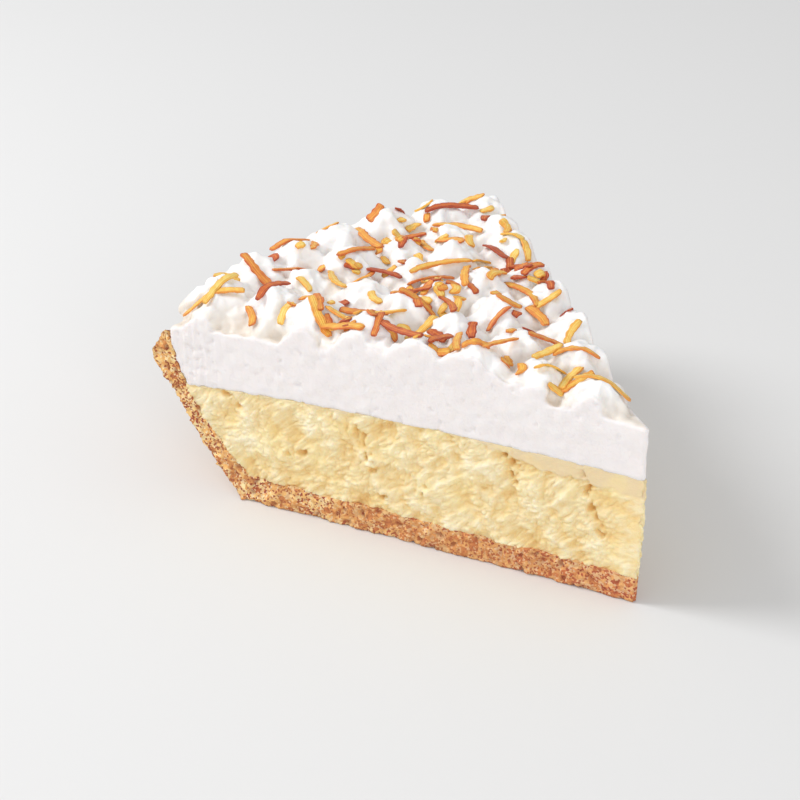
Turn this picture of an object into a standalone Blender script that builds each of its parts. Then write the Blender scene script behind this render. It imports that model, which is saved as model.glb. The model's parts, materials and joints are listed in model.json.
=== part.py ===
"""A slice of coconut cream pie: a crumb crust, custard, and whipped cream piped in stars and scattered
with shreds of toasted coconut.

The slice is a wedge of a round pie. Its tip points along +X, the crust's wall stands at -X, the two cut
faces mirror each other across the XZ plane, and the slice rests on Z = 0. Lengths are in metres.
"""

import math
import random

import bmesh
import bpy
from mathutils import Vector, noise
from mathutils.bvhtree import BVHTree

MM = 0.001

# The slice
HALF_ANGLE = math.radians(24.7)
TIP_RADIUS = 1.2 * MM  # the knife leaves the tip a little blunt
TIP_FADE = 13 * MM  # nearer the pie's middle than this, the cut faces' relief fades out
GAP = 0.3 * MM  # between one layer and the next

# The crust: a flat base, and a wall that flares out to a rim with a thick lip
BASE_THICKNESS = 6.2 * MM
BASE_RADIUS = 96.3 * MM
FOOT_RADIUS = 94.2 * MM  # of the inside, where the wall starts to rise
FLOOR_STEPS = 14
WALL_STEPS = 12
RIM_HEIGHT = 39 * MM
OUTER_FLARE = 19.9 * MM
INNER_FLARE = 19.3 * MM
FLARE_POWER = 1.8  # the higher, the more of the flare is at the foot
INNER_TOP = FOOT_RADIUS + INNER_FLARE
LIP_HEIGHT = 32.3 * MM
LIP_BULGE = 3.5 * MM
LIP_SPREAD = 6 * MM  # below the lip's fullest height
LIP_SHOULDER = 3 * MM  # above it
CRUMB_RELIEF = 0.8 * MM
CRUMB_SIZE = 5 * MM
RIM_UNEVEN = 1.3 * MM
RIM_SLANT = 0.6 * MM  # the rim's inner edge lies this much lower

# The custard: a little deeper at the pie's middle than at its wall
CUSTARD_TOP = 30.1 * MM
CUSTARD_FALL = 3.4 * MM
CUSTARD_RADIUS = 105 * MM
TEAR_RELIEF = 0.9 * MM
TEAR_SIZE = 6 * MM
CRACK_WIDTH = 2.2 * MM
CRACK_DEPTH = 1.6 * MM
# Cracks down a cut face: radius and height of the upper end, then of the lower end
CRACKS = ((67, 26, 63, 16), (31, 29, 29, 22), (14, 30, 9, 14))

# The whipped cream: a flat layer with rings of piped stars on it
CREAM_TOP = 42.5 * MM
CREAM_SHOULDER = 2.5 * MM  # how far the layer's outer edge is rounded down
SPARE = 6 * MM  # that the layer is made too wide, for the knife to cut off
OUTER_RING = 105 * MM
RING_SPACING = 12.9 * MM
STAR_SPACING = 12.8 * MM
STAR_RADIUS = 12.6 * MM
STAR_HEIGHT = 8.6 * MM
STAR_SUNK = 3 * MM
STAR_RIDGES = 5
RIDGE_DEPTH = 0.15
STAR_TWIST = math.radians(45)
STAR_LEAN = 2 * MM  # how far a tip may hang to one side
TIP_STAR = 0.6  # size of a star at the pie's middle, as a share of the others
FIRST_STARS = (9, 11, 9, 7, 4, 4, 5, 6)  # from the near cut face to the first star of each ring, in mm
LAST_STAR = 4.5 * MM  # from the last star of a ring to the far cut face
PIPING_SEED = 5

# The coconut: the shreds that stand out, each with its radius on the pie, its angle from the near cut
# face, its heading from the radial direction, its length and the sideways bow of its middle
LARGE_SHREDS = (
    (105, 4, 95, 12, 0.5),
    (105, 2, 150, 14, 1.5),
    (104, 11, 15, 11, 0.5),
    (110, 20, 95, 11, 0.5),
    (100, 15, 105, 9, -0.5),
    (94, 7, 95, 11, 0.5),
    (87, 16, 30, 12, 1),
    (92, 23, 90, 11, -0.5),
    (99, 28, 10, 14, 1),
    (82, 23, 170, 10, 0.5),
    (78, 2, 35, 10, 0.5),
    (71, 1, 5, 11, 0.5),
    (72, 10, 155, 11, -0.5),
    (58, 3, 15, 13, 1),
    (102, 42, 105, 13, 1.5),
    (94, 41, 140, 13, 0.5),
    (89, 34, 15, 10, 0.5),
    (76, 31, 95, 16, 1.5),
    (69, 33, 35, 13, 0.5),
    (79, 43, 170, 10, -0.5),
    (56, 40, 175, 14, 1.5),
    (74, 28, 95, 12, 0.5),
    (58, 21, 30, 12, -1),
    (49, 28, 95, 6, 0.5),
    (46, 6, 60, 11, 0.5),
    (37, 12, 100, 10, 0.5),
    (25, 33, 130, 10, 1.5),
    (21, 20, 80, 8, 0.5),
    (13, 20, 140, 12, 1),
    (73, 14, 30, 7, 0.5),
    (70, 23, 0, 8, -0.5),
    (35, 44, 55, 6, 0.5),
    (67, 44, 175, 10, 0.5),
    (50, 6, 90, 9, 0.5),
    (85, 37, 165, 9, 1),
    (40, 3, 150, 6, 0.5),
)
SMALL_SHREDS = 58
SMALL_LENGTHS = (3.5, 8.5)
SHRED_WIDTH = 2 * MM
SHRED_THICKNESS = 1.0 * MM
SHRED_PRESS = 0.55 * MM  # into the cream
SAG_STEPS = 8  # places along a shred where it is let down on the cream
SAG_ROUNDS = 12
STIFFNESS = 0.45  # share of a straight strip in how a shred lies, the rest sags
MOST_ROLL = 0.35
SCATTER_RADIUS = OUTER_RING + 3 * MM
SHRED_SEED = 7


def on_pie(radius, angle, height):
    """The point at a radius from the pie's centre and an angle from the slice's middle line."""
    return APEX + Vector((-radius * math.cos(angle), radius * math.sin(angle), height))


def mix(a, b, share):
    return a + (b - a) * share


def rise(share):
    """How far a wall has flared at a share of its height: fast at the foot, upright at the rim."""
    return 1 - (1 - min(share, 1)) ** FLARE_POWER


def outer_radius(height):
    spread = LIP_SPREAD if height < LIP_HEIGHT else LIP_SHOULDER
    lip = LIP_BULGE * math.exp(-(((height - LIP_HEIGHT) / spread) ** 2))
    return BASE_RADIUS + OUTER_FLARE * rise(height / RIM_HEIGHT) + lip


APEX = Vector(((outer_radius(LIP_HEIGHT) + TIP_RADIUS) / 2, 0, 0))  # the pie's centre


def inner_radius(height):
    share = (height - BASE_THICKNESS) / (RIM_HEIGHT - BASE_THICKNESS)
    return FOOT_RADIUS + INNER_FLARE * rise(min(max(share, 0), 1))


def custard_height(radius):
    return CUSTARD_TOP - CUSTARD_FALL * (radius / CUSTARD_RADIUS) ** 3


def rough(radius, angle, height, size):
    """Two octaves of noise, from about -1 to 1, that change over the given size."""
    place = on_pie(radius, angle, height) / size
    return noise.noise(place) + 0.5 * noise.noise(place * 2.3)


def divided_box(name, counts, place):
    """A box cut into counts[axis] lengths along each axis, its corners from 0 to 1 moved by place."""
    cage = bmesh.new()
    bmesh.ops.create_cube(cage, size=1)
    for axis, count in enumerate(counts):
        along = [e for e in cage.edges if abs((e.verts[0].co - e.verts[1].co)[axis]) > 0.01]
        bmesh.ops.subdivide_edges(cage, edges=along, cuts=count - 1)
    for vertex in cage.verts:
        vertex.co = place(*(vertex.co + Vector((0.5, 0.5, 0.5))))
    return mesh_object(name, cage)


def mesh_object(name, cage):
    if cage.calc_volume(signed=True) < 0:
        bmesh.ops.reverse_faces(cage, faces=cage.faces)
    mesh = bpy.data.meshes.new(name)
    cage.to_mesh(mesh)
    cage.free()
    return bpy.data.objects.new(name, mesh)


def material(name, colour, roughness):
    made = bpy.data.materials.new(name)
    made.use_nodes = True
    shader = made.node_tree.nodes["Principled BSDF"]
    shader.inputs["Base Color"].default_value = (*colour, 1)
    shader.inputs["Roughness"].default_value = roughness
    shader.inputs["Metallic"].default_value = 0
    return made


def finish(thing, collection, made):
    collection.objects.link(thing)
    thing.data.materials.clear()
    thing.data.materials.append(made)
    thing.data.shade_smooth()
    thing.data.set_sharp_from_angle(angle=math.radians(40))
    return thing


def crust_place(along, across, through):
    """Along runs from the tip out over the base and up the wall; through runs from outside to inside."""
    floor_share = FLOOR_STEPS / (FLOOR_STEPS + WALL_STEPS)
    angle = mix(-HALF_ANGLE, HALF_ANGLE, across)
    if along < floor_share + 0.001:
        run = along / floor_share
        radius = mix(TIP_RADIUS, mix(BASE_RADIUS, FOOT_RADIUS, through), run)
        height = mix(0, BASE_THICKNESS, through)
        up = 0
    else:
        up = (along - floor_share) / (1 - floor_share)
        outside = up * RIM_HEIGHT
        inside = mix(BASE_THICKNESS, RIM_HEIGHT - RIM_SLANT, up)
        radius = mix(outer_radius(outside), inner_radius(inside), through)
        height = mix(outside, inside, through)
    crumbs = CRUMB_RELIEF * rough(radius, angle, height, CRUMB_SIZE)
    radius += crumbs * (1 - through) * min(1, up * 6)
    if across in (0, 1):
        angle += crumbs * min(1, radius / TIP_FADE) / radius
    if up > 0.99:
        height += RIM_UNEVEN * rough(radius, angle, 0, 2 * CRUMB_SIZE)
    return on_pie(radius, angle, height)


def crack_depth(radius, height):
    """How deep the nearest crack is at a place on a cut face."""
    place = Vector((radius, height))
    depth = 0
    for upper_radius, upper_height, lower_radius, lower_height in CRACKS:
        upper = Vector((upper_radius, upper_height)) * MM
        lower = Vector((lower_radius, lower_height)) * MM
        run = lower - upper
        share = min(max((place - upper).dot(run) / run.length_squared, 0), 1)
        near = (place - upper - run * share).length
        depth = max(depth, CRACK_DEPTH * max(0, 1 - near / CRACK_WIDTH))
    return depth


def custard_place(along, across, up):
    foot = BASE_THICKNESS + GAP
    wall = mix(foot, custard_height(CUSTARD_RADIUS), up)
    radius = mix(TIP_RADIUS, inner_radius(wall) - 1.6 * GAP, along)
    height = mix(foot, custard_height(radius), up)
    angle = mix(-HALF_ANGLE, HALF_ANGLE, across)
    if across in (0, 1):
        side = 1 if across else -1
        inward = TEAR_RELIEF * (0.4 + rough(radius, angle, height, TEAR_SIZE)) + crack_depth(radius, height)
        angle -= side * inward * min(1, radius / TIP_FADE) / radius
    return on_pie(radius, angle, height)


def cream_place(along, across, up):
    """The flat layer, made wider than the slice, to be cut along with the stars."""
    wall = mix(custard_height(INNER_TOP) + GAP, CREAM_TOP - CREAM_SHOULDER, up)
    radius = mix(-SPARE, inner_radius(wall) - 2 * GAP, along)
    foot = custard_height(max(radius, 0)) + GAP
    shoulder = CREAM_SHOULDER * max(0, radius / INNER_TOP) ** 8
    height = mix(foot, CREAM_TOP - shoulder, up)
    wide = HALF_ANGLE + SPARE / INNER_TOP
    sideways = Vector((0, mix(-SPARE, SPARE, across) * (1 - radius / INNER_TOP), 0))
    return on_pie(radius, mix(-wide, wide, across), height) + sideways


def star_places():
    """The centres of the piped stars, as radius and angle, ring by ring from the rim to the tip."""
    draw = random.Random(PIPING_SEED)
    for ring, first in enumerate(FIRST_STARS):
        radius = OUTER_RING - ring * RING_SPACING
        arc = 2 * HALF_ANGLE * radius
        free = max(0, arc - first * MM - LAST_STAR)
        gaps = round(free / STAR_SPACING)
        for star_number in range(gaps + 1):
            along = first * MM + free * star_number / gaps if gaps else arc / 2
            along += draw.uniform(-1.2, 1.2) * MM
            yield radius + draw.uniform(-1.6, 0.8) * MM, along / radius - HALF_ANGLE


def star(index, radius, angle):
    """One piped star: a round drop with ridges that twist up to a bent tip."""
    draw = random.Random(f"star {index}")
    size = draw.uniform(0.9, 1.05) * (TIP_STAR + (1 - TIP_STAR) * min(1, radius / (40 * MM)))
    turned = draw.uniform(0, math.tau)
    lean = Vector((draw.uniform(-1, 1), draw.uniform(-1, 1), 0)) * STAR_LEAN
    foot = on_pie(radius, angle, CREAM_TOP)
    cage = bmesh.new()
    bmesh.ops.create_uvsphere(cage, u_segments=2 * STAR_RIDGES, v_segments=6, radius=1)
    for vertex in cage.verts:
        level = (vertex.co.z + 1) / 2
        around = math.atan2(vertex.co.y, vertex.co.x)
        ridge = 1 - RIDGE_DEPTH + RIDGE_DEPTH * math.cos(STAR_RIDGES * around)
        width = STAR_RADIUS * size * star_width(level) * (ridge if 0 < level < 1 else 0)
        swirl = around + turned + STAR_TWIST * level
        height = mix(-STAR_SUNK, STAR_HEIGHT * size, level)
        side = Vector((math.cos(swirl), math.sin(swirl), 0)) * width
        vertex.co = foot + side + lean * level**2 + Vector((0, 0, height))
    return mesh_object(f"star_{index}", cage)


def star_width(level):
    """A star's width at a share of its height, as a share of its full width."""
    return (1 - level**1.5) ** 0.75


def wedge_cutter():
    """The slice's outline from above, as a block taller and longer than the cream."""
    reach = 1.2 * INNER_TOP
    top = 2 * CREAM_TOP

    def place(along, across, up):
        radius = mix(TIP_RADIUS, reach, along)
        return on_pie(radius, mix(-HALF_ANGLE, HALF_ANGLE, across), mix(BASE_THICKNESS, top, up))

    return divided_box("wedge", (1, 12, 1), place)


def settle(surface, centre, along, length):
    """Heights at places along a stiff strip that bends a little and presses into the highest bump."""
    ground = []
    for step in range(SAG_STEPS + 1):
        place = centre + along * length * (step / SAG_STEPS - 0.5)
        hit = surface.ray_cast(Vector((place.x, place.y, 0.1)), Vector((0, 0, -1)))[0]
        ground.append(hit.z if hit else CREAM_TOP)
    limp = list(ground)
    for _ in range(SAG_ROUNDS):
        for i in range(1, SAG_STEPS):
            limp[i] = max(ground[i], (limp[i - 1] + limp[i + 1]) / 2)
        limp[0] = max(ground[0], 2 * limp[1] - limp[2] - SHRED_PRESS)
        limp[-1] = max(ground[-1], 2 * limp[-2] - limp[-3] - SHRED_PRESS)
    offsets = [i - SAG_STEPS / 2 for i in range(SAG_STEPS + 1)]
    slope = sum(offset * below for offset, below in zip(offsets, ground))
    slope /= sum(offset**2 for offset in offsets)
    middle = sum(ground) / len(ground)
    line = [mix(sag, middle + slope * offset, STIFFNESS) for sag, offset in zip(limp, offsets)]
    drop = min(height - below for height, below in zip(line, ground)) + SHRED_PRESS
    return [height - drop for height in line]


def shred(index, surface, steps, radius, angle, heading, length, bow):
    """One strip of coconut, laid on the cream and pressed a little into it."""
    draw = random.Random(f"shred {index}")
    room = (abs(math.sin(heading)) * length / 2 + SHRED_WIDTH) / radius
    angle = min(max(angle, room - HALF_ANGLE), max(HALF_ANGLE - room, 0))
    outward = (on_pie(1, angle, 0) - APEX).normalized()
    sideways = Vector((-outward.y, outward.x, 0))
    along = outward * math.cos(heading) - sideways * math.sin(heading)
    across = Vector((-along.y, along.x, 0))
    centre = on_pie(radius, angle, 0)
    line = settle(surface, centre, along, length)
    width = SHRED_WIDTH * draw.uniform(0.8, 1.15)
    roll = draw.uniform(-MOST_ROLL, MOST_ROLL)

    def place(run, side, up):
        arch = 1 - (2 * run - 1) ** 2
        wide = (side - 0.5) * width * (0.62 + 0.38 * arch**0.5)
        thick = (up - 0.5) * SHRED_THICKNESS
        below = min(int(run * SAG_STEPS), SAG_STEPS - 1)
        height = mix(line[below], line[below + 1], run * SAG_STEPS - below)
        height += SHRED_THICKNESS / 2 + thick * math.cos(roll) + wide * math.sin(roll)
        flat = centre + along * length * (run - 0.5) + across * (wide * math.cos(roll) + bow * (arch - 0.5))
        return Vector((flat.x, flat.y, height))

    return divided_box(f"shred_{index}", (steps, 1, 1), place)


def small_shreds():
    """Places for the small shreds: each takes the roomiest of twelve spots drawn over the top."""
    draw = random.Random(SHRED_SEED)
    taken = [on_pie(r * MM, math.radians(a) - HALF_ANGLE, 0) for r, a, *_ in LARGE_SHREDS]
    for _ in range(SMALL_SHREDS):
        best = None
        for _ in range(12):
            radius = SCATTER_RADIUS * math.sqrt(draw.uniform(0.015, 1))
            angle = draw.uniform(-HALF_ANGLE, HALF_ANGLE)
            place = on_pie(radius, angle, 0)
            room = min((place - other).length for other in taken)
            if best is None or room > best[0]:
                best = (room, radius, angle, place)
        taken.append(best[3])
        length = draw.uniform(*SMALL_LENGTHS) * MM
        yield best[1], best[2], draw.uniform(0, math.pi), length, draw.uniform(-0.8, 0.8) * MM


def boolean(thing, name, operation, collection=None, cutter=None):
    join = thing.modifiers.new(name, "BOOLEAN")
    join.operation = operation
    join.solver = "MANIFOLD"
    if collection:
        join.operand_type = "COLLECTION"
        join.collection = collection
    else:
        join.object = cutter


def apply_and_clear(thing, *collections):
    """Makes the thing's modifiers permanent, and removes what they joined or cut with."""
    bpy.context.view_layer.update()
    graph = bpy.context.evaluated_depsgraph_get()
    joined = bpy.data.meshes.new_from_object(thing.evaluated_get(graph))
    thing.modifiers.clear()
    thing.data = joined
    for collection in collections:
        for used in list(collection.objects):
            bpy.data.objects.remove(used)
        bpy.data.collections.remove(collection)


def fill_and_tidy(thing):
    """Keeps the outside shell, so that pockets sealed in by joining are filled and scraps are dropped."""
    cage = bmesh.new()
    cage.from_mesh(thing.data)
    shells = []
    unseen = set(cage.faces)
    while unseen:
        shell = set()
        edge_of_shell = [unseen.pop()]
        while edge_of_shell:
            face = edge_of_shell.pop()
            shell.add(face)
            touching = {other for edge in face.edges for other in edge.link_faces} & unseen
            unseen -= touching
            edge_of_shell.extend(touching)
        shells.append(shell)
    shells.sort(key=len)
    inner = [face for shell in shells[:-1] for face in shell]
    bmesh.ops.delete(cage, geom=inner, context="FACES")
    cage.to_mesh(thing.data)
    cage.free()


def helpers(name):
    made = bpy.data.collections.new(name)
    bpy.context.scene.collection.children.link(made)
    return made


def whipped_topping():
    cream = divided_box("whipped_topping", (12, 8, 2), cream_place)
    bpy.context.scene.collection.objects.link(cream)
    piping = helpers("piping")
    for index, (radius, angle) in enumerate(star_places()):
        piping.objects.link(star(index, radius, angle))
    cutters = helpers("cutters")
    wedge = wedge_cutter()
    cutters.objects.link(wedge)
    boolean(cream, "pipe the stars", "UNION", collection=piping)
    boolean(cream, "cut the slice", "INTERSECT", cutter=wedge)
    apply_and_clear(cream, piping, cutters)
    fill_and_tidy(cream)

    bpy.context.view_layer.update()
    surface = BVHTree.FromObject(cream, bpy.context.evaluated_depsgraph_get())
    coconut = helpers("coconut")
    large = [
        (r * MM, math.radians(a) - HALF_ANGLE, math.radians(h), length * MM, bow * MM)
        for r, a, h, length, bow in LARGE_SHREDS
    ]
    for index, place in enumerate(large + list(small_shreds())):
        steps = 4 if index < len(large) else 3
        coconut.objects.link(shred(index, surface, steps, *place))
    boolean(cream, "scatter the coconut", "UNION", collection=coconut)
    apply_and_clear(cream, coconut)
    fill_and_tidy(cream)
    bpy.context.scene.collection.objects.unlink(cream)
    return cream


def main():
    for thing in list(bpy.data.objects):
        bpy.data.objects.remove(thing)
    slice_parts = bpy.data.collections.new("coconut_pie_slice")
    bpy.context.scene.collection.children.link(slice_parts)
    crust = divided_box("crumb_crust", (FLOOR_STEPS + WALL_STEPS, 16, 2), crust_place)
    finish(crust, slice_parts, material("crumb", (0.62, 0.33, 0.14), 0.85))
    custard = divided_box("custard", (26, 8, 7), custard_place)
    finish(custard, slice_parts, material("custard", (0.86, 0.68, 0.35), 0.6))
    cream = whipped_topping()
    finish(cream, slice_parts, material("cream", (0.9, 0.88, 0.87), 0.5))


main()
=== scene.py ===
# %% [markdown]
# A slice of coconut cream pie
#
# The real thing is built up by a baker in four steps. Biscuit crumbs are pressed into a tin, custard
# is poured in and set, whipped cream is spread and piped over it, and toasted coconut is scattered on
# top. A knife then cuts a wedge. This lesson follows the same steps, because each layer shows on the
# cut face and each has its own kind of surface: grains, tears, crisp peaks and stiff little strips.
#
# The solids of the layers already exist, so the first cell loads them. Each layer is then made again
# with many more faces, in the same place, and stands for its solid.

# %% Load the solids
import json
import math
import random

import bmesh
import bpy
from mathutils import Matrix, Vector, noise
from mathutils.bvhtree import BVHTree

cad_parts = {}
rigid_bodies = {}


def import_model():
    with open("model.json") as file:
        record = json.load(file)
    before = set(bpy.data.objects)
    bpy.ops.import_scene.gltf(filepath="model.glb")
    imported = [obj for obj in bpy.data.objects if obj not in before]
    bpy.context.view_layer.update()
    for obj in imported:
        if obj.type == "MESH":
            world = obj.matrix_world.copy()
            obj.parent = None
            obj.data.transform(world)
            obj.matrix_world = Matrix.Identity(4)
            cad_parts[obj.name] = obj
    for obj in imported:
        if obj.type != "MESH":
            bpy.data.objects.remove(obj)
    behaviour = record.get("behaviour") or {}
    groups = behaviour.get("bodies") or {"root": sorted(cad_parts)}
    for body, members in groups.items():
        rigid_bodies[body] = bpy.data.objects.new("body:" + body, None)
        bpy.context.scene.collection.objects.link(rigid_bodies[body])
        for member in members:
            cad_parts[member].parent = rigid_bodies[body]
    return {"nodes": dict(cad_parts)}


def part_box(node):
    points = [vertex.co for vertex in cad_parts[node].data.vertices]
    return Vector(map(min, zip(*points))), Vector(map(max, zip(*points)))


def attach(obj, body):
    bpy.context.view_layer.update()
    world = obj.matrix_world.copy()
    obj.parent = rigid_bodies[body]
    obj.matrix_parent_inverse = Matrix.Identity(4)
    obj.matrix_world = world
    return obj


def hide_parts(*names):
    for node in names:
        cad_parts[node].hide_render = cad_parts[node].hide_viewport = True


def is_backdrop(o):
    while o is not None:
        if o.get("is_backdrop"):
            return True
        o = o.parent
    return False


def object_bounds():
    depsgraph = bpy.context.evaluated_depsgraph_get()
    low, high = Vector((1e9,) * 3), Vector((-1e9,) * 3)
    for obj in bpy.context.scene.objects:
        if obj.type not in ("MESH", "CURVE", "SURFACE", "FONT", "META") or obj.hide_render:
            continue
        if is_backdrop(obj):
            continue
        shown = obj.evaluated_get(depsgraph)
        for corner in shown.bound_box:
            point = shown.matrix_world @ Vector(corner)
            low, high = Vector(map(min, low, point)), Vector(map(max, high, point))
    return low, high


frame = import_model()
solids_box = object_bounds()
for node in sorted(frame["nodes"]):
    print(node, [round(1000 * side, 1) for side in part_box(node)[1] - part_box(node)[0]], "mm")

# %% [markdown]
# A pie is round, so its slice is easiest to describe by a radius from the pie's middle, an angle from
# the slice's middle line, and a height. One small function turns these three into a place. Everything
# below uses it, so the tip, the rim and the two cut faces meet without being fitted to each other. At
# the very tip the soft filling bulges a little, since nothing but itself holds it there.

# %% The slice's own coordinates
MM = 0.001
HALF_ANGLE = math.radians(24.7)
TIP_RADIUS = 1.2 * MM
TIP_FADE = 13 * MM
TIP_BULGES = (0.9 * MM, 2.2 * MM)  # at the plate, and in the custard from the next height upwards
BULGE_HEIGHT = 17 * MM


def on_pie(radius, angle, height):
    return MIDDLE + Vector((-radius * math.cos(angle), radius * math.sin(angle), height))


def mix(a, b, share):
    return a + (b - a) * share


def clamp(value, low=0.0, high=1.0):
    return min(max(value, low), high)


def drawn_tip(radius, height):
    """How far the slice's very tip bulges out beyond a wedge's."""
    reach = mix(*TIP_BULGES, min(1, height / BULGE_HEIGHT))
    return Vector((reach * max(0, 1 - radius / TIP_FADE) ** 2, 0, 0))


print("the slice's angle is", round(math.degrees(2 * HALF_ANGLE), 1), "degrees")

# %% [markdown]
# The tin gives the crust its shape: a flat floor, and a wall that flares fast at its foot and stands
# almost upright at the rim, where the crumbs were pressed over into a thick lip. The wall's inside and
# outside are both read from one curve, so the crust keeps an even thickness. The pie's middle lies so
# that the slice, from its tip to its lip, is centred on the origin.

# %% The crust's section
BASE_THICKNESS = 6.2 * MM
BASE_RADIUS = 96.3 * MM
FOOT_RADIUS = 94.2 * MM
RIM_HEIGHT = 39 * MM
RIM_SLANT = 0.6 * MM
OUTER_FLARE = 19.9 * MM
INNER_FLARE = 19.3 * MM
FLARE_POWER = 1.8
INNER_TOP = FOOT_RADIUS + INNER_FLARE
LIP_HEIGHT = 32.3 * MM
LIP_BULGE = 3.5 * MM
LIP_SPREAD = 6 * MM
LIP_SHOULDER = 3 * MM


def rise(share):
    return 1 - (1 - min(share, 1)) ** FLARE_POWER


def outer_radius(height):
    spread = LIP_SPREAD if height < LIP_HEIGHT else LIP_SHOULDER
    lip = LIP_BULGE * math.exp(-(((height - LIP_HEIGHT) / spread) ** 2))
    return BASE_RADIUS + OUTER_FLARE * rise(height / RIM_HEIGHT) + lip


def inner_radius(height):
    share = (height - BASE_THICKNESS) / (RIM_HEIGHT - BASE_THICKNESS)
    return FOOT_RADIUS + INNER_FLARE * rise(clamp(share))


MIDDLE = Vector(((outer_radius(LIP_HEIGHT) + TIP_RADIUS) / 2, 0, 0))
print("the lip reaches", round(1000 * outer_radius(LIP_HEIGHT), 1), "mm from the pie's middle")

# %% [markdown]
# Crust and custard are both bent boxes: a block with three directions, along the slice, across it and
# up or through it. Cutting a unit cube into many faces and then moving each corner keeps the mesh
# closed and its faces even. The cut faces need far more faces than the sides that lie hidden against
# the next layer, so some edges are cut again only where they are wanted. Each corner also keeps two
# numbers that the materials use later: how deep it lies in a hollow, and a tint of its own.

# %% A bent box with a fine skin
HAIR = 0.0001  # far less than any step of a box


def fine_box(name, counts, place, finer=None):
    cage = bmesh.new()
    bmesh.ops.create_cube(cage, size=1)
    for axis, count in enumerate(counts):
        cut_along(cage, axis, count - 1)
    if finer:
        cut_along(cage, *finer)
    # How deep each corner lies in a hollow. The materials paint shade and highlight from it.
    hollow_shade = cage.verts.layers.float.new("hollow_shade")
    tint = cage.verts.layers.float.new("tint")
    for vertex in cage.verts:
        corner = vertex.co + Vector((0.5, 0.5, 0.5))
        vertex.co, vertex[hollow_shade], vertex[tint] = place(*corner)
    return finished_mesh(name, cage)


def cut_along(cage, axis, cuts, start=-1.0):
    """Cuts the edges along an axis, all of them or those beyond a share of the box's length."""
    edges = []
    for edge in cage.edges:
        one, other = edge.verts[0].co, edge.verts[1].co
        run = one - other
        straight = run.length - abs(run[axis]) < HAIR / 10
        if straight and abs(run[axis]) > HAIR and min(one.x, other.x) + 0.5 > start:
            edges.append(edge)
    bmesh.ops.subdivide_edges(cage, edges=edges, cuts=cuts, use_grid_fill=True)


def knife_side(across):
    """-1 on the near cut face, 1 on the far one, 0 anywhere between them."""
    return (across > 1 - HAIR) - (across < HAIR)


def finished_mesh(name, cage):
    if cage.calc_volume(signed=True) < 0:
        bmesh.ops.reverse_faces(cage, faces=cage.faces)
    mesh = bpy.data.meshes.new(name)
    cage.to_mesh(mesh)
    cage.free()
    mesh.shade_smooth()
    piece = bpy.data.objects.new(name, mesh)
    bpy.context.scene.collection.objects.link(piece)
    return piece


def tell(piece):
    piece.data.calc_loop_triangles()
    print(piece.name, "has", len(piece.data.loop_triangles), "triangles")


# %% [markdown]
# Real crumb crust is grains of every size, squeezed together. Voronoi noise divides space into cells
# like that: the gap between the nearest and the second nearest cell centre is small at a cell's edge
# and large at its middle, so it draws rounded grains with creases between them. Two sizes of grain,
# with pits where grains fell out under the knife, give the broken face. The rim's slow unevenness is
# the same as in the solid, so the outline stays the same.

# %% Grains and pits
CRUMB_RELIEF = 0.8 * MM
CRUMB_SIZE = 5 * MM
GRAIN_LAYERS = ((2.0 * MM, 0.34 * MM), (1.0 * MM, 0.3 * MM))  # a grain's size and its relief
GRAIN_STEEP = 1.7  # how fast a grain rises out of the crease round it
GRAIN_MEAN = 0.55  # taken off, so that creases go in as far as grains stand out
PIT_SIZE = 1.6 * MM
PIT_DEPTH = 0.6 * MM
PIT_RARE = 0.28  # noise has to pass this before a grain is missing


def rough(radius, angle, height, size):
    place = on_pie(radius, angle, height) / size
    return noise.noise(place) + 0.5 * noise.noise(place * 2.3)


def grains(place):
    """How far the crumbs stand out at a place. It is below zero in creases and pits."""
    out = 0
    for size, relief in GRAIN_LAYERS:
        near, second = noise.voronoi(place / size)[0][:2]
        out += relief * (min(1, GRAIN_STEEP * (second - near)) - GRAIN_MEAN)
    return out - PIT_DEPTH * clamp(3 * (noise.noise(place / PIT_SIZE) - PIT_RARE))


for x in (0.01, 0.02, 0.03):
    print("at", x, "m the grains stand out", round(1000 * grains(Vector((x, 0, 0))), 2), "mm")

# %% [markdown]
# The crust's box runs from the tip out over the floor and up the wall. Only the wall is cut finely
# across the slice, since the floor's underside is flat. The underside stays flat here too, as it
# touches the plate. The rim is rounded by drawing its last millimetres in towards the wall's middle,
# and it ends lower than the tin's edge did, least so at the near cut face.

# %% Crust
FLOOR_STEPS = 250
WALL_STEPS = 105
FLOOR_SHARE = FLOOR_STEPS / (FLOOR_STEPS + WALL_STEPS)
RIM_ROUND = 0.07  # share of the wall's height over which the rim is rounded
RIM_FROM = 0.9  # share of the wall's height where the rim's wear begins
RIM_UNEVEN = 1.3 * MM
RIM_ARCH = 0.8 * MM
RIM_WORN = 2.6 * MM  # how much lower than the tin's edge the crumbs end
RIM_KEPT = 0.35  # share of that on the near cut face, where the knife left the rim highest
KEPT_STRIP = 1 / 30  # share of the slice's width within which it reaches the full wear
RELIEF_RISE = 6  # the relief grows from none to all of it over one such part of the wall's height


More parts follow.
